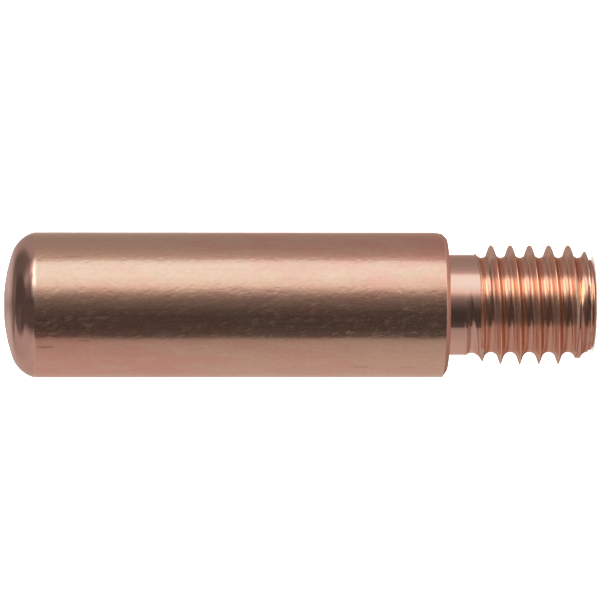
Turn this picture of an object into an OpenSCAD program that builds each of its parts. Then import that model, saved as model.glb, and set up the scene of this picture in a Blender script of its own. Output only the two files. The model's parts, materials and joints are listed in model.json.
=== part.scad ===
// Welding contact tip, turned in one piece from drawn copper bar.
// It stands on its threaded end: the origin is the centre of the rear end face,
// and +Z runs along the axis to the nose, where the wire comes out.

/* [Body] */
// Diameter of the bar that the body keeps
body_d = 9.4; // [9:0.1:12]
// Length of the body, from the shoulder face to the tip of the nose
body_length = 28.6; // [15:0.1:50]
// Length of the bevel round the shoulder
shoulder_bevel_length = 0.28; // [0.1:0.02:0.8]
// Depth of the bevel round the shoulder
shoulder_bevel_depth = 0.4; // [0.1:0.02:0.6]

/* [Nose] */
// Radius of the shallow dome on the front of the nose
dome_r = 10.5; // [8:0.1:20]
// Radius of the rounded corner between the dome and the side of the body
corner_r = 2.1; // [1:0.05:2.6]
// Angle at which the rounded corner meets the side of the body, in degrees
corner_angle = 16; // [4:1:30]

/* [Shank] */
// Length of the shank, from the rear end face to the shoulder
shank_length = 9.5; // [8:0.1:14]
// Diameter of the plain neck under the shoulder
neck_d = 6.5; // [6.4:0.05:7]
// Length of the plain neck
neck_length = 2.05; // [2:0.05:3]
// Angle of the ramps up to the thread, at both its ends, from the axis, in degrees
ramp_angle = 55; // [30:1:70]
// Diameter of the rear end face
end_d = 4.9; // [4.5:0.05:5.6]
// Length of the bevel round the rear end face
end_bevel_length = 0.13; // [0.05:0.01:0.2]
// Diameter of the short plain stub behind the thread
stub_d = 5.85; // [5.7:0.05:6]
// Length of the stub, with its bevel
stub_length = 0.3; // [0.25:0.05:0.5]
// Diameter to which the first turn of the thread is turned down
lead_d = 6.9; // [6.4:0.05:7.4]
// Length of the step from the stub up to that diameter
lead_rise = 0.2; // [0.1:0.05:0.4]
// How far from the rear end face the turned-down stretch reaches
lead_length = 1.15; // [1:0.05:1.4]

/* [Thread] */
// Outer diameter of the thread, which screws into an M8 hole
thread_d = 7.75; // [7.5:0.05:8]
// Pitch of the right-hand thread
thread_pitch = 1.25; // [1.1:0.05:1.5]
// Depth of the thread, from crest to root
thread_depth = 0.8; // [0.6:0.05:0.85]
// Angle between the two flanks of the groove, in degrees
flank_angle = 40; // [36:1:46]
// Width of the flat left at the crest
crest_flat = 0.05; // [0.04:0.01:0.2]
// Height of the first crest above the rear end face, on the +X side
first_crest_z = 0.36; // [0:0.01:1]
// How far past the foot of the ramp the groove runs into the neck
runout_length = 0.9; // [0.2:0.05:1]
// Share of a turn over which the groove rises out of the neck
runout_turns = 0.5; // [0.2:0.05:0.8]

/* [Wire bore] */
// Diameter of the bore, for wire of 1.2 mm
bore_d = 1.4; // [0.8:0.05:2]
// Diameter of the funnel's mouth in the rear end face
funnel_d = 3; // [2.2:0.1:4]
// Angle between the funnel's walls, in degrees
funnel_angle = 60; // [40:5:90]
// Width of the bevel round the bore's exit in the nose
exit_bevel = 0.12; // [0.05:0.01:0.3]

/* [Hidden] */
$fn = 96;

// Steps along the nose's two arcs, along the groove's round root, and round one turn of it
corner_steps = 16;
dome_steps = 8;
root_steps = 5;
groove_steps = 40;
// How far a cut reaches past the surface that it opens
overcut = 0.03;

body_r = body_d / 2;
neck_r = neck_d / 2;
end_r = end_d / 2;
stub_r = stub_d / 2;
lead_r = lead_d / 2;
thread_r = thread_d / 2;
bore_r = bore_d / 2;
funnel_r = funnel_d / 2;
overall_length = shank_length + body_length;

// The corner's circle passes through the side of the body at the corner angle,
// and touches the dome's circle from inside.
dome_centre = [0, overall_length - dome_r];
corner_centre_r = body_r - corner_r * cos(corner_angle);
corner_rise = sqrt(pow(dome_r - corner_r, 2) - pow(corner_centre_r, 2));
corner_centre = dome_centre + [corner_centre_r, corner_rise];
touch_angle = atan2(corner_rise, corner_centre_r);

neck_z = shank_length - neck_length;
ramp_z = neck_z - (thread_r - neck_r) / tan(ramp_angle);
full_thread_z = lead_length + (thread_r - lead_r) / tan(ramp_angle);

funnel_slope = tan(funnel_angle / 2);
funnel_depth = (funnel_r - bore_r) / funnel_slope;

// The groove has a round root that both its flanks touch. It starts clear of the end face,
// and at its upper end it rises until it is clear of the neck.
half_flank = flank_angle / 2;
flank_slope = tan(half_flank);
root_r = thread_r - thread_depth;
mouth_r = thread_r + overcut;
groove_w = thread_pitch - crest_flat;
mouth_w = groove_w + 2 * overcut * flank_slope;
root_round = (groove_w / 2 - thread_depth * flank_slope) * cos(half_flank) / (1 - sin(half_flank));
root_centre = [root_r + root_round, 0];
groove_z = first_crest_z + thread_pitch / 2;
first_turn = (-mouth_w - groove_z) / thread_pitch;
last_turn = (neck_z + runout_length - groove_z) / thread_pitch;
turn_count = last_turn - first_turn;
section_count = ceil(turn_count * groove_steps);
runout_rise = neck_r - root_r + overcut;

// Points along an arc in the plane of the profile, without its first point
function arc(centre, radius, from_angle, to_angle, steps) = [
    for (i = [1 : steps])
        let (angle = from_angle + (to_angle - from_angle) * i / steps)
        centre + radius * [cos(angle), sin(angle)]
];

// How far the groove has risen from its full depth after so many turns
function groove_rise(turn) = runout_rise * max(0, 1 - (last_turn - turn) / runout_turns);

// The groove's section, from its lower mouth round the root to its upper mouth
groove_corners = concat(
    [
        [mouth_r, -mouth_w / 2],
        root_centre + root_round * [-sin(half_flank), -cos(half_flank)]
    ],
    arc(root_centre, root_round, 270 - half_flank, 90 + half_flank, root_steps),
    [[mouth_r, mouth_w / 2]]
);

// The corners of that section after so many turns
function groove_section(turn) =
    let (
        angle = 360 * turn,
        height = groove_z + thread_pitch * turn,
        rise = groove_rise(turn)
    )
    [
        for (corner = groove_corners)
            let (r = corner[0] + rise)
            [r * cos(angle), r * sin(angle), height + corner[1]]
    ];

// Half of the turned blank, in the plane of radius and height
module blank_profile() {
    polygon(concat(
        [
            [0, 0],
            [end_r, 0],
            [stub_r, end_bevel_length],
            [stub_r, stub_length],
            [lead_r, stub_length + lead_rise],
            [lead_r, lead_length],
            [thread_r, full_thread_z],
            [thread_r, ramp_z],
            [neck_r, neck_z],
            [neck_r, shank_length],
            [body_r - shoulder_bevel_depth, shank_length],
            [body_r, shank_length + shoulder_bevel_length],
            corner_centre + corner_r * [cos(corner_angle), sin(corner_angle)]
        ],
        arc(corner_centre, corner_r, corner_angle, touch_angle, corner_steps),
        arc(dome_centre, dome_r, touch_angle, 90, dome_steps)
    ));
}

// The helical groove that leaves the thread standing
module thread_groove() {
    turns = [for (i = [0 : section_count]) first_turn + turn_count * i / section_count];
    points = [for (turn = turns) each groove_section(turn)];
    corner_count = len(groove_corners);
    sides = [
        for (i = [0 : section_count - 1], corner = [0 : corner_count - 1])
            let (
                near = i * corner_count + corner,
                near_next = i * corner_count + (corner + 1) % corner_count,
                far = near + corner_count,
                far_next = near_next + corner_count
            )
            each [[near, far, near_next], [near_next, far, far_next]]
    ];
    first_cap = [for (corner = [0 : corner_count - 1]) corner];
    last_cap = [for (corner = [1 : corner_count]) len(points) - corner];
    polyhedron(points, concat(sides, [first_cap, last_cap]));
}

// The wire's way through, with a funnel at the rear and a broken edge at the nose
module wire_bore() {
    translate([0, 0, -overcut])
        cylinder(r = bore_r, h = overall_length + 2 * overcut);
    translate([0, 0, -overcut])
        cylinder(r1 = funnel_r + overcut * funnel_slope, r2 = bore_r, h = funnel_depth + overcut);
    translate([0, 0, overall_length - exit_bevel])
        cylinder(r1 = bore_r, r2 = bore_r + exit_bevel + overcut, h = exit_bevel + overcut);
}

module contact_tip() {
    color("peru")
        difference() {
            rotate_extrude()
                blank_profile();
            thread_groove();
            wire_bore();
        }
}

contact_tip();
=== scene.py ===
# %% [markdown]
# # A welding contact tip in copper
#
# The tip is one turned piece: a length of drawn copper bar with a domed nose, a plain neck
# and a screw thread behind its shoulder, and a fine bore for the wire right through it.
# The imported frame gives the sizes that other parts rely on. This lesson models the finished
# skin over it, as one closed mesh, and gives each way of working the metal its own finish.

# %% Load the frame
import json
import math

import bmesh
import bpy
from mathutils import Matrix, Vector, noise


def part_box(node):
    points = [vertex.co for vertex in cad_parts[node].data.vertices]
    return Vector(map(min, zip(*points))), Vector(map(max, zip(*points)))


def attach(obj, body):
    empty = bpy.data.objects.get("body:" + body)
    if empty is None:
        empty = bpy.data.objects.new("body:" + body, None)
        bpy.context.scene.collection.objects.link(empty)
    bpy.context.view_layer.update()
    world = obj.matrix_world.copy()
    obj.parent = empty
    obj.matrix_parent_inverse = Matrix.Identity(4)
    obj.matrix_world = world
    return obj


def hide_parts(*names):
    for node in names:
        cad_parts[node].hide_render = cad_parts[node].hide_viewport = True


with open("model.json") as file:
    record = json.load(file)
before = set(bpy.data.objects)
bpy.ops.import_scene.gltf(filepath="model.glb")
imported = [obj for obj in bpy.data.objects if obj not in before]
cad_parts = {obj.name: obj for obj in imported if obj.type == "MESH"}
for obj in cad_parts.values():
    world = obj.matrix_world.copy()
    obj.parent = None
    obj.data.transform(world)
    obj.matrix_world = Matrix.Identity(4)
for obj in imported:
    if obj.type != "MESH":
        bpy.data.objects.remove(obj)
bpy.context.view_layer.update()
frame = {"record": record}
MM = 0.001
mounts = {mount["name"]: mount for mount in frame["record"]["mounts"]}

# %% [markdown]
# ## Sizes that other parts rely on
#
# A lathe hand works from a short list of sizes. The bar's radius, the shoulder's height, the bore
# and the thread's outer radius are the ones that other parts have to fit. They could be typed in
# again, but read from the frame they can't drift from the solid. The smaller sizes, which only
# shape the ends, are written where they are first needed.

# %% Sizes from the frame
low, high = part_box("contact_tip")
bar_r = (high[0] - low[0]) / 2
rim_z = high[2]
shoulder_z = mounts["shoulder"]["pos_m"][2]
bore_r = mounts["wire_bore"]["dims"]["r_mm"] * MM
crest_r = mounts["thread"]["dims"]["r_mm"] * MM
ramp_foot_z = mounts["thread"]["dims"]["length_mm"] * MM
print("bar radius %.2f mm, shoulder at %.2f mm" % (bar_r / MM, shoulder_z / MM))

# %% [markdown]
# ## Camera
#
# The photograph looks across the axis from far off, a few degrees towards the nose, with the
# tip lying from left to right. Here the tip stands on its threaded end. It could be laid down,
# but then it would leave the solid's place, so the camera is turned a quarter turn about its
# own line of sight instead, and the nose points left.

# %% Camera
mm_per_pixel = 0.06459
image_pixels = 600
camera_distance = 0.402
sensor_width = 36
view_down = math.radians(3)
# The row of the tip's axis and the column of its rear end in the photograph
axis_row = 304.9
end_column = 593.65

picture_width = image_pixels * mm_per_pixel * MM
aim = Vector((
    (axis_row - image_pixels / 2) * mm_per_pixel * MM,
    0,
    (end_column - image_pixels / 2) * mm_per_pixel * MM,
))
towards_camera = Vector((0, -math.cos(view_down), math.sin(view_down)))
camera_up = Vector((1, 0, 0))
camera_right = camera_up.cross(towards_camera)

camera_data = bpy.data.cameras.new("camera")
camera_data.sensor_width = sensor_width
camera_data.lens = sensor_width * camera_distance / picture_width
camera = bpy.data.objects.new("camera", camera_data)
bpy.context.scene.collection.objects.link(camera)
turn = Matrix((camera_right, camera_up, towards_camera)).transposed().to_4x4()
camera.matrix_world = Matrix.Translation(aim + camera_distance * towards_camera) @ turn
bpy.context.scene.camera = camera
print("lens %.0f mm" % camera_data.lens)

# %% [markdown]
# ## Node tools
#
# Both the studio and the finishes are shader nodes. In the editor they are dropped in and wired
# by hand, and in a script each one takes several lines. The same few kinds come up again and
# again, so each kind gets a small function that makes the node, wires it and hands on its output.

# %% Node tools
# Where a Mix node that mixes colours keeps its two inputs and its result
MIX_FIRST, MIX_SECOND, MIX_RESULT = 6, 7, 2


def wire(tree, *sockets):
    """Links sockets in pairs: the first to the second, the third to the fourth."""
    for start, end in zip(sockets[::2], sockets[1::2]):
        tree.links.new(start, end)


def give(tree, socket, value):
    """Gives a socket a number, a colour, or another node's output to follow."""
    if isinstance(value, bpy.types.NodeSocket):
        tree.links.new(value, socket)
    elif isinstance(value, tuple):
        socket.default_value = (*value, 1)
    else:
        socket.default_value = value


def calculated(tree, operation, *values):
    """Works out one sum with numbers or other nodes' outputs."""
    node = tree.nodes.new("ShaderNodeMath")
    node.operation = operation
    for socket, value in zip(node.inputs, values):
        give(tree, socket, value)
    return node.outputs["Value"]


def ranged(tree, value, from_low, from_high, to_low, to_high, shape="LINEAR"):
    """Maps a value from one range to another and clamps it."""
    node = tree.nodes.new("ShaderNodeMapRange")
    node.interpolation_type = shape
    node.inputs["From Min"].default_value = from_low
    node.inputs["From Max"].default_value = from_high
    node.inputs["To Min"].default_value = to_low
    node.inputs["To Max"].default_value = to_high
    tree.links.new(value, node.inputs["Value"])
    return node.outputs["Result"]


def blended(tree, factor, first, second):
    """Blends two colours by a value; each may be a plain colour or another node's output."""
    mix = tree.nodes.new("ShaderNodeMix")
    mix.data_type = "RGBA"
    tree.links.new(factor, mix.inputs["Factor"])
    give(tree, mix.inputs[MIX_FIRST], first)
    give(tree, mix.inputs[MIX_SECOND], second)
    return mix.outputs[MIX_RESULT]


print("node tools:", [tool.__name__ for tool in (wire, give, calculated, ranged, blended)])

# %% [markdown]
# ## Studio
#
# Polished metal shows the room more than itself, so the room is the light. Lamps and cards could
# stand round the tip, but a painted room is easier to steer. What the metal mirrors is six rings of
# soft light and shade, one above the other: a wide soft box on one side, a black flag behind the
# camera, and grey walls elsewhere. Each ring is a list of greys round the compass.

# %% Rings of light and shade
soft_box = (0.93, 1.18, 1.25)
soft_box_edge = (0.87, 1.04, 1.08)
soft_box_side = (2.05, 2.20, 1.75)
warm_green = 0.76
warm_blue = 0.68


def grey(value):
    """A neutral grey."""
    return (value, value, value)


def warm(value):
    """The grey of a wall that the copper's own glow has warmed."""
    return (value, warm_green * value, warm_blue * value)


# Each stop is in degrees round from the camera, positive towards the soft box
under_ring = [
    (-180, warm(0.46)), (-66, warm(0.40)), (-50, grey(0.16)), (-10, grey(0.12)), (14, grey(0.30)),
    (28, soft_box_side), (66, soft_box_side), (84, warm(0.50)), (110, warm(0.40)), (180, warm(0.46)),
]
side_ring = [
    (-180, warm(0.30)), (-150, warm(0.32)), (-100, warm(0.34)), (-66, warm(0.28)), (-56, warm(0.18)),
    (-50, grey(0.08)), (-36, grey(0.065)), (-8, grey(0.08)), (8, grey(0.13)), (18, grey(0.32)),
    (26, grey(0.80)), (36, soft_box_side), (66, soft_box_side), (74, grey(0.70)), (84, warm(0.36)),
    (100, warm(0.31)), (150, warm(0.30)), (180, warm(0.30)),
]
level_ring = [
    (-180, warm(0.34)), (-174, warm(0.40)), (-166, grey(0.60)), (-150, grey(0.52)), (-100, grey(0.48)),
    (-66, grey(0.39)), (-56, grey(0.32)), (-52, grey(0.09)), (-36, grey(0.050)), (-18, grey(0.052)),
    (-8, grey(0.075)), (0, grey(0.12)), (6, grey(0.16)), (12, grey(0.22)), (18, grey(0.34)),
    (24, grey(0.59)), (30, (0.84, 0.90, 0.90)), (38, soft_box_edge), (48, soft_box), (66, soft_box),
    (72, soft_box_edge), (77, grey(0.60)), (84, grey(0.43)), (100, grey(0.335)), (125, grey(0.31)),
    (150, grey(0.36)), (166, grey(0.60)), (174, warm(0.40)), (180, warm(0.34)),
]
middle_ring = [
    (-180, grey(0.34)), (-177, grey(0.52)), (-172, grey(0.48)), (-160, grey(0.43)), (-66, grey(0.44)),
    (-56, grey(0.36)), (-46, grey(0.18)), (-38, grey(0.06)), (-25, grey(0.050)), (5, grey(0.055)),
    (18, grey(0.18)), (29, grey(0.70)), (40, grey(1.60)), (62, grey(1.70)), (70, grey(1.05)),
    (77, grey(0.48)), (88, grey(0.32)), (140, grey(0.30)), (158, grey(0.33)), (167, grey(0.37)),
    (174, grey(0.46)), (177, grey(0.56)), (180, grey(0.34)),
]
upper_ring = [
    (-180, grey(0.12)), (-172, grey(0.13)), (-168, grey(0.16)), (-164, grey(0.32)), (-146, grey(0.37)),
    (-87, grey(0.39)), (-67, grey(0.37)), (-55, grey(0.19)), (-46, grey(0.06)), (10, grey(0.05)),
    (30, grey(0.11)), (40, grey(0.16)), (55, grey(0.30)), (64, grey(0.34)), (74, grey(0.25)),
    (84, grey(0.17)), (98, grey(0.11)), (150, grey(0.11)), (166, grey(0.17)), (180, grey(0.12)),
]
top_ring = [
    (-180, grey(0.055)), (-140, grey(0.09)), (-112, grey(0.11)), (-80, grey(0.06)), (180, grey(0.055)),
]
# The rings above the lowest one, and the heights between which each takes over from the one below
higher_rings = [
    (side_ring, -0.90, -0.60), (level_ring, -0.36, -0.18), (middle_ring, 0.06, 0.20),
    (upper_ring, 0.46, 0.67), (top_ring, 0.84, 0.93),
]
print("stops in the rings:", [len(under_ring)] + [len(stops) for stops, start, end in higher_rings])

# %% [markdown]
# ## World
#
# The rings become the world's background. A radial gradient gives the direction round the compass,
# a colour ramp turns it into each ring's greys, and the height of the view blends ring into ring.
# A painted panorama would do the same, but here every stop can be moved on its own. Only the
# metal's reflections see the rings: all other light is plain white, so the floor stays pale.

# %% World
white_strength = 3
# This turn puts the direction of the camera in the middle of the gradient, at 0 degrees
camera_bearing = math.radians(90)


def ring_colours(tree, compass, stops):
    """Lays one ring's stops round the compass as a colour ramp."""
    ring = tree.nodes.new("ShaderNodeValToRGB")
    places = [((angle + 180) / 360, (*colour, 1)) for angle, colour in stops]
    elements = ring.color_ramp.elements
    elements.remove(elements[-1])
    elements[0].position, elements[0].color = places[0]
    for position, colour in places[1:]:
        elements.new(position).color = colour
    tree.links.new(compass.outputs["Fac"], ring.inputs["Fac"])
    return ring.outputs["Color"]


def mirrored_room(tree):
    """The room that the metal mirrors: the rings, blended from one to the next by height."""
    coords = tree.nodes.new("ShaderNodeTexCoord")
    facing = tree.nodes.new("ShaderNodeMapping")
    facing.inputs["Rotation"].default_value = (0, 0, camera_bearing)
    compass = tree.nodes.new("ShaderNodeTexGradient")
    compass.gradient_type = "RADIAL"
    height = tree.nodes.new("ShaderNodeSeparateXYZ")
    wire(tree, coords.outputs["Generated"], facing.inputs["Vector"],
         facing.outputs["Vector"], compass.inputs["Vector"],
         coords.outputs["Generated"], height.inputs["Vector"])
    seen = ring_colours(tree, compass, under_ring)
    for stops, start, end in higher_rings:
        rise = ranged(tree, height.outputs["Z"], start, end, 0, 1, "SMOOTHSTEP")
        seen = blended(tree, rise, seen, ring_colours(tree, compass, stops))
    return seen


def studio_world():
    """A white world, in which reflections see the rings."""
    world = bpy.data.worlds.new("studio")
    world.use_nodes = True
    tree = world.node_tree
    tree.nodes.clear()
    room = tree.nodes.new("ShaderNodeBackground")
    white = tree.nodes.new("ShaderNodeBackground")
    white.inputs["Color"].default_value = (1, 1, 1, 1)
    white.inputs["Strength"].default_value = white_strength
    ray = tree.nodes.new("ShaderNodeLightPath")
    either = tree.nodes.new("ShaderNodeMixShader")
    output = tree.nodes.new("ShaderNodeOutputWorld")
    wire(tree, mirrored_room(tree), room.inputs["Color"],
         ray.outputs["Is Glossy Ray"], either.inputs["Fac"],
         white.outputs["Background"], either.inputs[1],
         room.outputs["Background"], either.inputs[2],
         either.outputs["Shader"], output.inputs["Surface"])
    return world


bpy.context.scene.world = studio_world()
bpy.context.scene.view_settings.view_transform = "Standard"
bpy.context.scene.view_settings.look = "None"
print("world of", len(bpy.context.scene.world.node_tree.nodes), "nodes")

# %% [markdown]
# ## Floor
#
# The tip stands on a pale, matt sheet. A backdrop that curves up behind would hide the horizon,
# but from this angle the white world does that already, so one flat grid is enough. The metal
# doesn't mirror the sheet, because the lowest rings already hold what it would see there.

# %% Floor
floor_half_width = 3.0
floor_grey = 0.9
floor_roughness = 0.9


def pale_floor():
    """Makes the sheet that the tip stands on."""
    bm = bmesh.new()
    bmesh.ops.create_grid(bm, x_segments=1, y_segments=1, size=floor_half_width)
    mesh = bpy.data.meshes.new("floor")
    bm.to_mesh(mesh)
    bm.free()
    paint = bpy.data.materials.new("pale_floor")
    paint.use_nodes = True
    shader = paint.node_tree.nodes["Principled BSDF"]
    shader.inputs["Base Color"].default_value = (*grey(floor_grey), 1)
    shader.inputs["Roughness"].default_value = floor_roughness
    shader.inputs["Specular IOR Level"].default_value = 0
    mesh.materials.append(paint)
    return bpy.data.objects.new("floor", mesh)


floor = pale_floor()
bpy.context.scene.collection.objects.link(floor)
floor.visible_glossy = False
print("floor", 2 * floor_half_width, "m wide")

# %% [markdown]
# ## The turned outline
#
# Everything but the thread is round about the axis, so it is drawn as half an outline and spun.
# Stacked cylinders would give the same sizes, but an outline lets every corner be shaped.
# Straight runs are extruded vertices, arcs are vertices spun about the arc's own centre, and
# the corners that a tool leaves sharp are broken by a small vertex bevel.

# %% Outline tools
def line_to(bm, start, r, z):
    """Extrudes a vertex of the outline to a new radius and height."""
    made = bmesh.ops.extrude_vert_indiv(bm, verts=[start])
    end = made["verts"][0]
    end.co = (r, 0, z)
    return end


def arc_about(bm, start, centre_r, centre_z, angle, steps):
    """Spins a vertex of the outline about a centre in the outline's plane."""
    made = bmesh.ops.spin(
        bm, geom=[start], cent=(centre_r, 0, centre_z), axis=(0, -1, 0), angle=angle, steps=steps,
    )
    return next(item for item in made["geom_last"] if isinstance(item, bmesh.types.BMVert))


def broken_corner(bm, corner, width, segments=3):
    """Rounds one corner of the outline."""
    bmesh.ops.bevel(
        bm, geom=[corner], offset=width, offset_type="OFFSET", segments=segments,
        profile=0.5, affect="VERTICES", material=-1,
    )


print("outline tools:", [tool.__name__ for tool in (line_to, arc_about, broken_corner)])

# %% [markdown]
# ## Sizes of the outline
#
# The nose of the real tip is a shallow dome that rolls over a rounded corner into the side of the
# bar. A half ball would be simpler, but the dome's flatter look is what tells this nose from others.
# The corner's circle touches the dome's circle from inside and meets the bar at a small angle.
# That angle leaves the faint edge round the nose, and it fixes where both circles have their centres.

# %% Sizes of the outline
body_length = 28.6 * MM
dome_r = 10.5 * MM
corner_r = 2.1 * MM
corner_angle = math.radians(16)
neck_r = 3.25 * MM
end_r = 2.45 * MM
end_bevel = 0.13 * MM
stub_r = 2.925 * MM
funnel_r = 1.5 * MM
half_funnel_angle = math.radians(30)
exit_bevel = 0.12 * MM
shoulder_bevel_length = 0.28 * MM
shoulder_bevel_depth = 0.40 * MM

nose_z = shoulder_z + body_length
dome_centre_z = nose_z - dome_r
corner_centre_r = bar_r - corner_r * math.cos(corner_angle)
corner_rise = math.sqrt((dome_r - corner_r) ** 2 - corner_centre_r ** 2)
corner_centre_z = dome_centre_z + corner_rise
touch_angle = math.atan2(corner_rise, corner_centre_r)
nose_edge_z = corner_centre_z + corner_r * math.sin(corner_angle)
exit_r = bore_r + exit_bevel - (nose_z - rim_z)
exit_angle = math.acos(exit_r / dome_r)
funnel_depth = (funnel_r - bore_r) / math.tan(half_funnel_angle)
print("nose edge at %.2f mm, nose at %.2f mm" % (nose_edge_z / MM, nose_z / MM))

# %% [markdown]
# ## Drawing and spinning
#
# The outline starts on the neck, goes over the shoulder, along the bar and round the nose, in at
# the bore's exit, down the bore, out of the funnel, and across the rear face round to the stub.
# Smooth shading bends the light over a whole face, so a row of points stands close to each corner
# and keeps the long faces beside it flat. A few rows behind the shoulder wait for the knock there.

# %% Draw and spin the outline
spin_steps = 256
corner_steps = 24
dome_steps = 16
support = 0.15 * MM
corner_width = 0.05 * MM
nose_edge_width = 0.11 * MM
rolled_length = 0.6 * MM
rolled_rows = 6
# The outline ends on the neck and on the stub, a little short of where the thread will end
neck_end_z = shoulder_z - 0.45 * MM
stub_end_z = 0.2 * MM


def turned_surface(bm):
    """Draws the outline from the neck round to the stub and spins it about the axis."""
    first = bm.verts.new((neck_r, 0, neck_end_z))
    point = line_to(bm, first, neck_r, shoulder_z - support)
    neck_root = line_to(bm, point, neck_r, shoulder_z)
    point = line_to(bm, neck_root, neck_r + support, shoulder_z)
    shoulder_inner = line_to(bm, point, bar_r - shoulder_bevel_depth, shoulder_z)
    shoulder_outer = line_to(bm, shoulder_inner, bar_r, shoulder_z + shoulder_bevel_length)
    point = line_to(bm, shoulder_outer, bar_r, shoulder_outer.co.z + corner_width)
    for row in range(rolled_rows + 1):
        height = shoulder_bevel_length + support + rolled_length * row / rolled_rows
        point = line_to(bm, point, bar_r, shoulder_z + height)
    point = line_to(bm, point, bar_r, nose_edge_z - support)
    nose_edge = line_to(bm, point, bar_r, nose_edge_z)
    corner_turn = touch_angle - corner_angle
    point = arc_about(bm, nose_edge, corner_centre_r, corner_centre_z, corner_turn, corner_steps)
    exit_rim = arc_about(bm, point, 0, dome_centre_z, exit_angle - touch_angle, dome_steps)
    exit_inner = line_to(bm, exit_rim, bore_r, rim_z - (exit_r - bore_r))
    point = line_to(bm, exit_inner, bore_r, exit_inner.co.z - support)
    point = line_to(bm, point, bore_r, funnel_depth + support)
    funnel_inner = line_to(bm, point, bore_r, funnel_depth)
    funnel_mouth = line_to(bm, funnel_inner, funnel_r, 0)
    point = line_to(bm, funnel_mouth, funnel_r + support, 0)
    end_rim = line_to(bm, point, end_r, 0)
    stub_rim = line_to(bm, end_rim, stub_r, end_bevel)
    line_to(bm, stub_rim, stub_r, stub_end_z)
    for corner in (shoulder_inner, neck_root, end_rim, stub_rim):
        broken_corner(bm, corner, corner_width)
    for corner in (shoulder_outer, exit_rim, funnel_mouth):
        broken_corner(bm, corner, corner_width / 2, segments=2)
    broken_corner(bm, nose_edge, nose_edge_width, segments=4)
    bmesh.ops.spin(
        bm, geom=bm.verts[:] + bm.edges[:], cent=(0, 0, 0), axis=(0, 0, 1),
        angle=2 * math.pi, steps=spin_steps, use_merge=True,
    )


tip = bmesh.new()
turned_surface(tip)
print("turned surface:", len(tip.faces), "faces")

# %% [markdown]
# ## Knocks and hand work
#
# A tip that has lain in a box is not perfectly round. The shoulder's edge has been pressed in on
# one side, and the edge of the nose, dressed by hand, wanders a little. Sculpting would do it,
# but a script has to give the same result each time. So the points near those edges are moved by
# a rule, which fades out along the bar, and by noise that depends only on the direction.

# %% Knocks and hand work
rolled_depth = 0.10 * MM
rolled_focus = 5
edge_reach = 0.5 * MM
edge_drift = 0.09 * MM
slow_waves = 2.2
quick_waves = 9


def rolled_shoulder(bm):
    """Presses the shoulder's edge in on one side, where the tip has been knocked."""
    edge_z = shoulder_z + shoulder_bevel_length
    reach = support + rolled_length
    for vert in bm.verts:
        x, y, z = vert.co
        r = math.hypot(x, y)
        if r < bar_r - shoulder_bevel_depth / 2 or z > edge_z + reach:
            continue
        along = min(1, (edge_z + reach - z) / reach)
        around = max(0, x / r) ** rolled_focus
        scale = 1 - rolled_depth * along * along * around / r
        vert.co = (x * scale, y * scale, z)


def dressed_edge(bm):
    """Makes the nose's edge wander a little, as an edge dressed by hand does."""
    most = 0
    for vert in bm.verts:
        x, y, z = vert.co
        r = math.hypot(x, y)
        nearness = 1 - abs(z - nose_edge_z) / edge_reach
        if r < bar_r - edge_reach or nearness < 0:
            continue
        around = Vector((x / r, y / r, 0))
        slow = noise.noise(around * slow_waves)
        quick = noise.noise(around * quick_waves) / 2
        vert.co.z = z + (slow + quick) * edge_drift * nearness * nearness
        most = max(most, abs(vert.co.z - z))
    return most


rolled_shoulder(tip)
print("nose edge wanders by up to %.3f mm" % (dressed_edge(tip) / MM))

# %% [markdown]
# ## One pitch of the thread
#
# A thread is a groove wound round the shank. This one has steep flanks and a round root, the shape
# of the tool that cut it. A ready-made screw shape would have the wrong section, so one pitch of
# it, from crest to crest, is drawn as a short open line, with an arc for the root, a bevel at each
# crest and extra points along the flanks for the later cuts to shape.

# %% Section of the thread
pitch = 1.25 * MM
thread_depth = 0.8 * MM
first_crest_z = 0.36 * MM
half_flank = math.radians(20)
crest_flat = 0.05 * MM
crest_corner = 0.02 * MM
shortest_flank = 0.3 * MM
flank_rows = 9
root_steps = 14
turns_below = 2
root_r = crest_r - thread_depth
groove_z = first_crest_z + pitch / 2


def thread_section(bm, height):
    """Draws one pitch of the thread as an open line, from crest to crest, round its root."""
    half_pitch = pitch / 2
    half_mouth = half_pitch - crest_flat / 2
    flank_run = half_mouth - (crest_r - root_r) * math.tan(half_flank)
    root_round = flank_run * math.cos(half_flank) / (1 - math.sin(half_flank))
    root_centre_r = root_r + root_round
    touch_r = root_centre_r - root_round * math.sin(half_flank)
    touch_z = root_round * math.cos(half_flank)
    first = bm.verts.new((crest_r, 0, height - half_pitch))
    crest_start = line_to(bm, first, crest_r, height - half_mouth)
    point = line_to(bm, crest_start, touch_r, height - touch_z)
    point = arc_about(bm, point, root_centre_r, height, 2 * half_flank - math.pi, root_steps)
    crest_end = line_to(bm, point, crest_r, height + half_mouth)
    line_to(bm, crest_end, crest_r, height + half_pitch)
    for corner in (crest_start, crest_end):
        broken_corner(bm, corner, crest_corner, segments=2)
    flanks = [edge for edge in bm.edges if edge.calc_length() > shortest_flank]
    bmesh.ops.subdivide_edges(bm, edges=flanks, cuts=flank_rows)
    return root_round


lowest_groove_z = groove_z - turns_below * pitch
winding = bmesh.new()
print("thread root round %.2f mm" % (thread_section(winding, lowest_groove_z) / MM))

# %% [markdown]
# ## Winding it into a screw
#
# On the lathe the tool moves along by one pitch while the bar turns once. Spinning the section
# with a small rise at every step does the same. A Screw modifier could wind it too, but the
# operator leaves a plain mesh to work on. One turn is wound and copied upwards, and the crests
# of neighbouring turns weld into one skin whose rows follow the helix.

# %% Wind the thread
winding_steps = 144
turn_count = 10
weld_distance = 0.002 * MM


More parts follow.
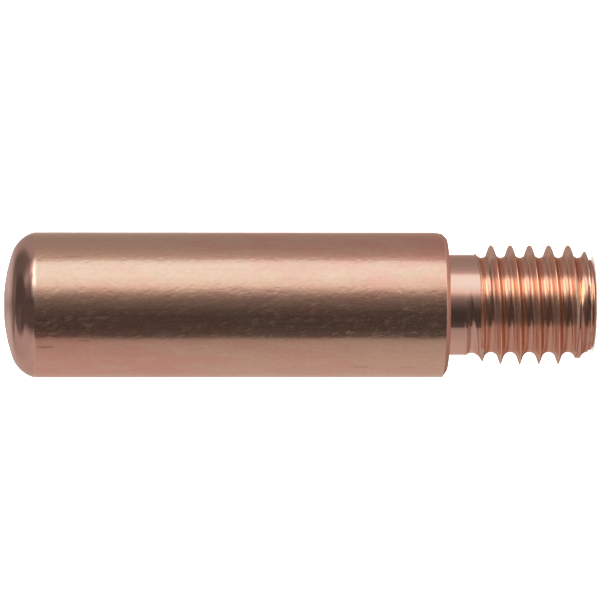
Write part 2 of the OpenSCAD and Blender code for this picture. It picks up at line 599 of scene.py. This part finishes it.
def wind(bm):
    """Winds the section into a screw of many turns."""
    bmesh.ops.spin(
        bm, geom=bm.verts[:] + bm.edges[:], cent=(0, 0, 0), axis=(0, 0, 1),
        angle=2 * math.pi, steps=winding_steps, dvec=(0, 0, pitch / winding_steps),
    )
    one_turn = bm.verts[:] + bm.edges[:] + bm.faces[:]
    for copy in range(1, turn_count):
        made = bmesh.ops.duplicate(bm, geom=one_turn)
        copied = [item for item in made["geom"] if isinstance(item, bmesh.types.BMVert)]
        bmesh.ops.translate(bm, verts=copied, vec=(0, 0, copy * pitch))
    bmesh.ops.remove_doubles(bm, verts=bm.verts[:], dist=weld_distance)


wind(winding)
print("wound", turn_count, "turns,", len(winding.faces), "faces")

# %% [markdown]
# ## Trimming the screw to the blank
#
# The lathe's other cuts limit the thread: the short stub and the turned-down first turn at the
# rear, the ramp to the neck, and the neck itself, into which the groove rises and runs out. Where
# the tool leaves the neck it raises a slight burr. A boolean would leave ragged slivers here, so
# each point is drawn in to the blank's radius instead, and two planes cut the ends off straight.

# %% Shank before threading
ramp_angle = math.radians(55)
ramp_slope = math.tan(ramp_angle)
stub_length = 0.3 * MM
lead_r = 3.45 * MM
lead_rise = 0.2 * MM
lead_length = 1.15 * MM
# Heights and radii of the shank: stub, first turn, crest, ramp and neck
blank_steps = [
    (0, end_r), (end_bevel, stub_r), (stub_length, stub_r), (stub_length + lead_rise, lead_r),
    (lead_length, lead_r), (lead_length + (crest_r - lead_r) / ramp_slope, crest_r),
    (ramp_foot_z - (crest_r - neck_r) / ramp_slope, crest_r), (ramp_foot_z, neck_r),
]


def blank_radius(z):
    """Radius of the shank before it is threaded."""
    for (low_z, low_r), (high_z, high_r) in zip(blank_steps, blank_steps[1:]):
        if z < high_z:
            return low_r + (high_r - low_r) * max(z - low_z, 0) / (high_z - low_z)
    return neck_r


print("shank before threading:", ["%.2f mm" % (blank_radius(z) / MM) for z, r in blank_steps])

# %% Trim the thread
runout_turns = 0.5
runout_length = 0.9 * MM
overcut = 0.03 * MM
burr = 0.10 * MM
burr_reach = 0.30 * MM
burr_gap_turns = 0.1
last_turn = (ramp_foot_z + runout_length - groove_z) / pitch
runout_rise = neck_r - root_r + overcut
burr_end = last_turn - burr_gap_turns
edge_softness = 0.02 * MM
thread_low_z = 0.26 * MM
thread_top_z = neck_end_z - 0.1 * MM
middle_z = shoulder_z / 2


def soft_min(a, b, softness):
    """The lesser of two radii, with the corner between them rounded."""
    blend = max(softness - abs(a - b), 0) / softness
    return min(a, b) - blend * blend * softness / 4


def limit_to_blank(bm):
    """Draws the wound thread in to the blank, with its run-out and burr."""
    for vert in bm.verts:
        x, y, z = vert.co
        r = math.hypot(x, y)
        part_turn = math.atan2(y, x) / (2 * math.pi)
        turns = round((z - groove_z) / pitch - part_turn) + part_turn
        rise = runout_rise * max(0, 1 - (last_turn - turns) / runout_turns)
        blank = blank_radius(z)
        spare = r + rise - blank
        if z > middle_z and blank < crest_r:
            strength = min(1, max(0, (burr_end - turns) / runout_turns))
            blank += burr * strength * max(0, 1 - max(spare, 0) / burr_reach)
        scale = soft_min(r + rise, blank, edge_softness) / r
        vert.co = (x * scale, y * scale, z)


def cut_off(bm, height, outward):
    """Cuts the screw across and clears what lies beyond."""
    everything = bm.verts[:] + bm.edges[:] + bm.faces[:]
    bmesh.ops.bisect_plane(
        bm, geom=everything, plane_co=(0, 0, height), plane_no=(0, 0, outward), clear_outer=True,
    )


limit_to_blank(winding)
cut_off(winding, thread_low_z, -1)
cut_off(winding, thread_top_z, 1)
print("thread:", len(winding.faces), "faces")

# %% [markdown]
# ## One closed skin
#
# The screw and the turned surface each end in two open rings: one round the neck and one round
# the stub. They could stay two meshes, but the real tip is one piece of metal, and a closed skin
# can be measured and printed. Bridging the rings in pairs closes it. Normals are recalculated
# last, because spinning can leave a surface inside out.

# %% Join the skin
def open_rings(bm, low_z, high_z):
    """The open edges that lie between two heights."""
    return [
        edge for edge in bm.edges
        if edge.is_boundary and all(low_z < vert.co.z < high_z for vert in edge.verts)
    ]


thread_mesh = bpy.data.meshes.new("wound_thread")
winding.to_mesh(thread_mesh)
winding.free()
tip.from_mesh(thread_mesh)
bpy.data.meshes.remove(thread_mesh)
bmesh.ops.bridge_loops(tip, edges=open_rings(tip, middle_z, shoulder_z))
bmesh.ops.bridge_loops(tip, edges=open_rings(tip, -middle_z, middle_z))
bmesh.ops.recalc_face_normals(tip, faces=tip.faces[:])
for face in tip.faces:
    face.smooth = True
open_edges = [edge for edge in tip.edges if not edge.is_manifold]
print("skin:", len(tip.faces), "faces,", len(open_edges), "open edges")
print("volume %.1f mm3" % (tip.calc_volume() / MM ** 3))

skin_mesh = bpy.data.meshes.new("contact_tip_skin")
tip.to_mesh(skin_mesh)
tip.free()
skin = bpy.data.objects.new("contact_tip_skin", skin_mesh)
bpy.context.scene.collection.objects.link(skin)
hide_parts("contact_tip")
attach(skin, "root")

# %% [markdown]
# ## Finish tools
#
# One metal, worked in several ways. Every finish is a metal shader, and what tells a drawn skin
# from a turned one is the pattern in its bump, colour and roughness. A photograph of copper could
# be wrapped round, but it would stretch at the ends. Noise on the tip's own coordinates has no
# seams, and stretched to a size in millimetres it gives streaks, rings, dents or blotches.

# %% Finish tools
usual_edge_tint = (1, 0.92, 0.86)


def metal(name, colour, roughness, edge_tint=usual_edge_tint):
    """A plain metal material, its tree and its shader; the edge tint is for glancing light."""
    material = bpy.data.materials.new(name)
    material.use_nodes = True
    tree = material.node_tree
    shader = tree.nodes["Principled BSDF"]
    shader.inputs["Base Color"].default_value = (*colour, 1)
    shader.inputs["Metallic"].default_value = 1
    shader.inputs["Specular Tint"].default_value = (*edge_tint, 1)
    shader.inputs["Roughness"].default_value = roughness
    return material, tree, shader


def noise_value(tree, size, detail, tilt=0):
    """Noise whose blotches have a size in millimetres along x, y and z, tilted in degrees about y."""
    coords = tree.nodes.new("ShaderNodeTexCoord")
    mapping = tree.nodes.new("ShaderNodeMapping")
    mapping.vector_type = "TEXTURE"
    mapping.inputs["Scale"].default_value = [length * MM for length in size]
    mapping.inputs["Rotation"].default_value = (0, math.radians(tilt), 0)
    texture = tree.nodes.new("ShaderNodeTexNoise")
    texture.inputs["Scale"].default_value = 1
    texture.inputs["Detail"].default_value = detail
    wire(tree, coords.outputs["Object"], mapping.inputs["Vector"],
         mapping.outputs["Vector"], texture.inputs["Vector"])
    return texture.outputs["Fac"]


print("finish tools:", [tool.__name__ for tool in (metal, noise_value)])


# %% Places, sums and bump
def place_on_skin(tree):
    """The X, Y and Z of a spot on the tip, in metres."""
    coords = tree.nodes.new("ShaderNodeTexCoord")
    place = tree.nodes.new("ShaderNodeSeparateXYZ")
    tree.links.new(coords.outputs["Object"], place.inputs["Vector"])
    return place.outputs


def along(tree, place, axis, start, end, at_start, at_end):
    """A value that changes from one to another between two places on an axis, in millimetres."""
    return ranged(tree, place[axis], start * MM, end * MM, at_start, at_end)


def product(tree, first, second):
    """Multiplies two values."""
    return calculated(tree, "MULTIPLY", first, second)


def summed(tree, values):
    """Adds values in a chain."""
    total = values[0]
    for value in values[1:]:
        total = calculated(tree, "ADD", total, value)
    return total


micron = MM / 1000


def bumped(tree, shader, *reliefs):
    """Bumps the shader by patterns, each with its height in thousandths of a millimetre."""
    heights = [ranged(tree, pattern, 0, 1, 0, height) for pattern, height in reliefs]
    bump = tree.nodes.new("ShaderNodeBump")
    bump.inputs["Distance"].default_value = micron
    wire(tree, summed(tree, heights), bump.inputs["Height"],
         bump.outputs["Normal"], shader.inputs["Normal"])


print("more tools:", [tool.__name__ for tool in (place_on_skin, along, product, summed, bumped)])

# %% [markdown]
# ## Scratches
#
# The bar has a few long scratches that catch the eye. They could be cut into the mesh, but they are
# thinner than its faces, so they are drawn in the finish. Each one is a soft line at its own place on
# the front of the bar: the product of being near it across the bar and being near it along the bar.

# %% Scratches
# Scratches are on the front half of the bar, and fade out this near to its middle, in millimetres
front_fade = 0.4
# Place across the bar, both ends along it and half width, in millimetres, then how dark it is
scratches = [
    (-2.69, 34.80, 36.10, 0.05, 1.0), (3.10, 33.10, 34.30, 0.04, 0.4),
    (-2.25, 32.50, 33.55, 0.04, 0.6), (-2.80, 25.00, 26.00, 0.03, 0.4),
    (-4.00, 14.60, 15.80, 0.04, 0.5), (-4.02, 11.40, 12.90, 0.03, 0.3),
]


def near_to(tree, value, middle, core, reach):
    """1 as far as the core from a place on an axis, and 0 past its reach, in millimetres."""
    offset = calculated(tree, "SUBTRACT", value, middle * MM)
    distance = calculated(tree, "ABSOLUTE", offset)
    return ranged(tree, distance, core * MM, reach * MM, 1, 0)


def scratch_mark(tree, place, across, start, end, half_width, darkness):
    """How dark a spot is made by one scratch on the front of the bar, from 0 to 1."""
    half_length = (end - start) / 2
    line = product(
        tree,
        near_to(tree, place["X"], across, 0, 2 * half_width),
        near_to(tree, place["Z"], start + half_length, half_length / 2, half_length),
    )
    return product(tree, line, along(tree, place, "Y", -front_fade, 0, darkness, 0))


print(len(scratches), "scratches")

# %% [markdown]
# ## Drawn bar
#
# The body keeps the skin of the drawn bar: a slow ripple round it, lengthwise streaks, small dents,
# nicks and flecks, scuffs on the lower side, and a colour that goes from olive to pink where it has
# been handled. One noise can't hold all of these, because each has its own size and direction, so
# each gets its own, and together they steer the bump, the colour and the roughness.

# %% Marks of the drawn bar
# Size of each pattern in millimetres along x, y and z, its detail, and its tilt in degrees
bar_patterns = {
    "ripple": ((1.9, 1.9, 3.8), 0, 0),
    "dents": ((0.22, 0.22, 0.34), 1.5, 0),
    "streaks": ((0.11, 0.11, 4.2), 2.0, 0),
    "nicks": ((0.13, 0.13, 0.70), 1.0, -22),
    "flecks": ((0.34, 0.34, 0.46), 1.0, 0),
    "scuffs": ((0.34, 0.34, 0.8), 1.0, -22),
    "ragged": ((0.05, 0.05, 0.30), 1.0, 0),
    "drift": ((6, 6, 9), 2.0, 0),
    "blotches": ((0.9, 0.9, 2.6), 2.0, 0),
}
# The values of its pattern between which each mark sets in
bar_onsets = {"nicks": (0.60, 0.72), "flecks": (0.52, 0.76), "scuffs": (0.56, 0.74)}
# Height of each mark, in thousandths of a millimetre
bar_heights = {
    "ripple": 26, "rubbed dents": 3, "streaks": 0.8, "nicks": -1, "flecks": -4, "scratches": -3,
}


def bar_marks(tree, place):
    """The patterns and marks of the drawn skin by name, each from 0 to 1."""
    marks = {name: noise_value(tree, *pattern) for name, pattern in bar_patterns.items()}
    for name, (faint, full) in bar_onsets.items():
        marks[name] = ranged(tree, marks[name], faint, full, 0, 1)
    rubbed = along(tree, place, "X", start=-1.0, end=0.6, at_start=0.2, at_end=1)
    scuffed = along(tree, place, "X", start=1.0, end=2.0, at_start=1, at_end=0)
    marks["rubbed dents"] = product(tree, rubbed, marks["dents"])
    marks["flecks"] = product(tree, rubbed, marks["flecks"])
    marks["scuffs"] = product(tree, scuffed, marks["scuffs"])
    marks["scratches"] = product(
        tree,
        ranged(tree, marks["ragged"], 0.35, 0.6, 0.5, 1),
        summed(tree, [scratch_mark(tree, place, *scratch) for scratch in scratches]),
    )
    return marks


print(len(bar_patterns), "patterns and", len(bar_heights), "raised or sunk marks on the bar")

# %% Drawn bar
pink_copper = (0.94, 0.455, 0.345)
olive_copper = (0.935, 0.55, 0.395)
dull_copper = (0.55, 0.31, 0.22)
dark_copper = (0.35, 0.19, 0.14)
scratch_darkness = 0.9
# How far each slow pattern shifts the colour between olive and pink
bar_shifts = {"drift": 0.45, "blotches": 0.50}
# The values of its pattern between which a mark dulls the colour, and by how much
bar_dulling = {"dents": (0.35, 0.70, 0.16), "streaks": (0.45, 0.80, 0.10)}
# How much rougher than the streaks each mark is
bar_roughening = {"nicks": 0.08, "scuffs": 0.08}


def bar_tone(tree, place, marks):
    """The bar's colour: olive to pink by handling, dull in dents and streaks, dark in scratches."""
    towards_corner = product(
        tree,
        along(tree, place, "Z", start=10, end=34, at_start=-1, at_end=1),
        along(tree, place, "X", start=-4.5, end=4.0, at_start=1, at_end=-1),
    )
    shifts = [
        ranged(tree, marks[name], 0.35, 0.65, -shift, shift) for name, shift in bar_shifts.items()
    ]
    handled = summed(tree, [towards_corner] + shifts)
    tone = blended(tree, ranged(tree, handled, -0.4, 1.0, 0, 1), olive_copper, pink_copper)
    for name, (faint, full, share) in bar_dulling.items():
        tone = blended(tree, ranged(tree, marks[name], faint, full, 0, share), tone, dull_copper)
    scratched = ranged(tree, marks["scratches"], 0, 1, 0, scratch_darkness)
    return blended(tree, scratched, tone, dark_copper)


def bar_roughness(tree, marks):
    """The bar's roughness: finer and coarser streaks, with duller nicks and scuffs."""
    streaked = ranged(tree, marks["streaks"], 0.3, 0.7, 0.09, 0.15)
    rougher = [ranged(tree, marks[name], 0, 1, 0, more) for name, more in bar_roughening.items()]
    return summed(tree, [streaked] + rougher)


def drawn_bar():
    """The finish of the body, as the drawing die left it."""
    material, tree, shader = metal("drawn_bar", olive_copper, roughness=0.12)
    place = place_on_skin(tree)
    marks = bar_marks(tree, place)
    bumped(tree, shader, *[(marks[name], height) for name, height in bar_heights.items()])
    wire(tree, bar_tone(tree, place, marks), shader.inputs["Base Color"],
         bar_roughness(tree, marks), shader.inputs["Roughness"])
    return material


bar_finish = drawn_bar()
print("drawn bar:", len(bar_finish.node_tree.nodes), "nodes")

# %% [markdown]
# ## Turned faces and nose
#
# The neck, the shoulder and the rear face were cut with a sharp tool and shine almost like mirrors.
# The nose was turned more roughly, so it carries coarser rings and a few specks. Rings could be a
# wave texture, but real ones are never even, so they are noise stretched wide and squeezed low.

# %% Turned faces and nose
def turned_face():
    """The finish of the neck, the shoulder and the rear face."""
    material, tree, shader = metal(
        "turned_face", colour=(0.955, 0.535, 0.42), roughness=0.05, edge_tint=(1, 0.85, 0.76),
    )
    tool_rings = noise_value(tree, size=(3.3, 3.3, 0.0625), detail=2.0)
    smears = noise_value(tree, size=(0.67, 0.67, 0.38), detail=2.0)
    bumped(tree, shader, (tool_rings, 0.5), (smears, 2.5))
    return material


def turned_nose():
    """The finish of the dome and the rounded corner."""
    material, tree, shader = metal("turned_nose", colour=(0.93, 0.51, 0.41), roughness=0.10)
    tool_rings = noise_value(tree, size=(1.1, 1.1, 0.11), detail=2.0)
    specks = noise_value(tree, size=(0.22, 0.22, 0.22), detail=1.0)
    pits = ranged(tree, specks, 0.70, 0.80, 0, 1)
    bumped(tree, shader, (tool_rings, 6), (pits, -6))
    return material


turned_finishes = [turned_face(), turned_nose()]
print("made", [finish.name for finish in turned_finishes])

# %% [markdown]
# ## Cut thread
#
# The thread is bright where its crests have rubbed and deeper in colour in the groove, where light
# bounces from wall to wall and picks up more copper each time. One finish would turn the groove too
# red, so root, flank and crest each get their own. The tool's lines run round the thread, and
# they spread its highlights across them, which is what the anisotropic setting does.

# %% Cut thread
thread_stretch = 0.8
quarter_turn = 0.25


def cut_thread(name, colour, roughness, edge_tint):
    """One finish of the thread, with highlights that stretch across the tool's lines."""
    material, tree, shader = metal(name, colour, roughness, edge_tint)
    around = tree.nodes.new("ShaderNodeTangent")
    around.direction_type = "RADIAL"
    around.axis = "Z"
    tree.links.new(around.outputs["Tangent"], shader.inputs["Tangent"])
    shader.inputs["Anisotropic"].default_value = thread_stretch
    shader.inputs["Anisotropic Rotation"].default_value = quarter_turn
    tool_lines = noise_value(tree, size=(2, 2, 0.07), detail=2.0)
    bumped(tree, shader, (tool_lines, 1.5))
    return material


thread_finishes = [
    cut_thread("thread_root", (0.86, 0.425, 0.305), 0.12, (0.90, 0.70, 0.62)),
    cut_thread("thread_flank", (0.93, 0.73, 0.61), 0.22, (0.82, 0.53, 0.45)),
    cut_thread("thread_crest", (1.00, 0.68, 0.53), 0.16, (0.97, 0.70, 0.59)),
]
print("made", [finish.name for finish in thread_finishes])

# %% [markdown]
# ## Edges and bore
#
# The edge of the nose has a thin bright line, part real wear and part painted highlight: its colour is
# lighter only on the side that faces the soft box. The shoulder's bevel is a quick cut that stayed
# rough, and the bore is darker, with the lines of its drill. Lightening by the sharpness of the mesh
# would brighten the whole edge alike, so the painted highlight follows the place across the bar,
# broken up by noise.

# %% Edges and bore
# The nose edge's colour where it is worn and carries the painted highlight, then its colour elsewhere
worn_and_highlight_copper = (1.0, 0.69, 0.53)
faced_copper = (0.93, 0.51, 0.39)


def worn_edge_and_painted_highlight():
    """The finish of the nose's edge: worn, and painted lighter on the side that faces the soft box."""
    material, tree, shader = metal("worn_edge_and_painted_highlight", olive_copper, roughness=0.12)
    place = place_on_skin(tree)
    chips = noise_value(tree, size=(0.3, 0.3, 0.3), detail=1.0)
    # Painted highlight: the edge is lighter only across the band of the bar that faces the soft box,
    # with noise for worn chips
    rubbed = product(
        tree,
        along(tree, place, "X", start=-1.0, end=0.8, at_start=0, at_end=1),
        along(tree, place, "X", start=2.8, end=3.6, at_start=1, at_end=0),
    )
    wear_and_painted_highlight = summed(tree, [rubbed, ranged(tree, chips, 0.3, 0.7, -0.4, 0.2)])
    tone = blended(tree, ranged(tree, wear_and_painted_highlight, 0, 1, 0, 1), faced_copper, worn_and_highlight_copper)
    tree.links.new(tone, shader.inputs["Base Color"])
    return material


def broken_edge():
    """The finish of the shoulder's bevel."""
    material, tree, shader = metal(
        "broken_edge", colour=(0.80, 0.46, 0.38), roughness=0.55, edge_tint=(1, 0.86, 0.80),
    )
    tool_lines = noise_value(tree, size=(1.5, 1.5, 0.09), detail=1.0)
    bumped(tree, shader, (tool_lines, 2))
    return material


def drilled_bore():
    """The finish of the bore and its funnel."""
    material, tree, shader = metal("drilled_bore", colour=(0.60, 0.32, 0.23), roughness=0.30)
    drill_lines = noise_value(tree, size=(1.2, 1.2, 0.06), detail=1.0)
    bumped(tree, shader, (drill_lines, 3))
    return material


edge_finishes = [worn_edge_and_painted_highlight(), broken_edge(), drilled_bore()]
print("made", [finish.name for finish in edge_finishes])

# %% [markdown]
# ## A finish for each zone
#
# On the real tip a finish ends where its tool stopped. Each of those borders is a radius, a height
# or a slope, so every face can be sorted by where it lies. Picking faces by hand would work once,
# but this still holds when a size changes. The thread is sorted by slope: steep faces are its
# flanks, and the rest are its root, apart from the outermost ones, which are its crests.

# %% Give each zone its finish
finishes = [bar_finish] + turned_finishes + thread_finishes + edge_finishes
BAR, FACE, NOSE, ROOT, FLANK, CREST, EDGE, BEVEL, BORE = range(len(finishes))
bore_margin = 0.02 * MM
funnel_margin_slope = 0.5
shoulder_margin = 0.01 * MM
end_margin = 0.002 * MM
ramp_margin = 0.1 * MM
crest_depth = 0.09 * MM
steepest_root = 0.62


def zone_of(r, z, slope):
    """Which finish a spot of the skin has, by its radius, height and slope."""
    in_funnel = z < funnel_depth and r < funnel_r - funnel_margin_slope * z
    if r < bore_r + bore_margin or in_funnel:
        return BORE
    if z > nose_edge_z + nose_edge_width:
        return NOSE
    if z > nose_edge_z - nose_edge_width:
        return EDGE
    if z > shoulder_z + shoulder_bevel_length + corner_width / 2:
        return BAR
    if z > shoulder_z + shoulder_margin:
        return BEVEL
    if end_margin < z < stub_length:
        return ROOT
    if z > ramp_foot_z + ramp_margin or z < stub_length:
        return FACE
    if r > crest_r - crest_depth:
        return CREST
    if abs(slope) < steepest_root:
        return ROOT
    return FLANK


for finish in finishes:
    skin.data.materials.append(finish)
zone_count = [0] * len(finishes)
for face in skin.data.polygons:
    centre = face.center
    zone = zone_of(math.hypot(centre.x, centre.y), centre.z, face.normal.z)
    face.material_index = zone
    zone_count[zone] += 1
print("faces of each finish:", zone_count)
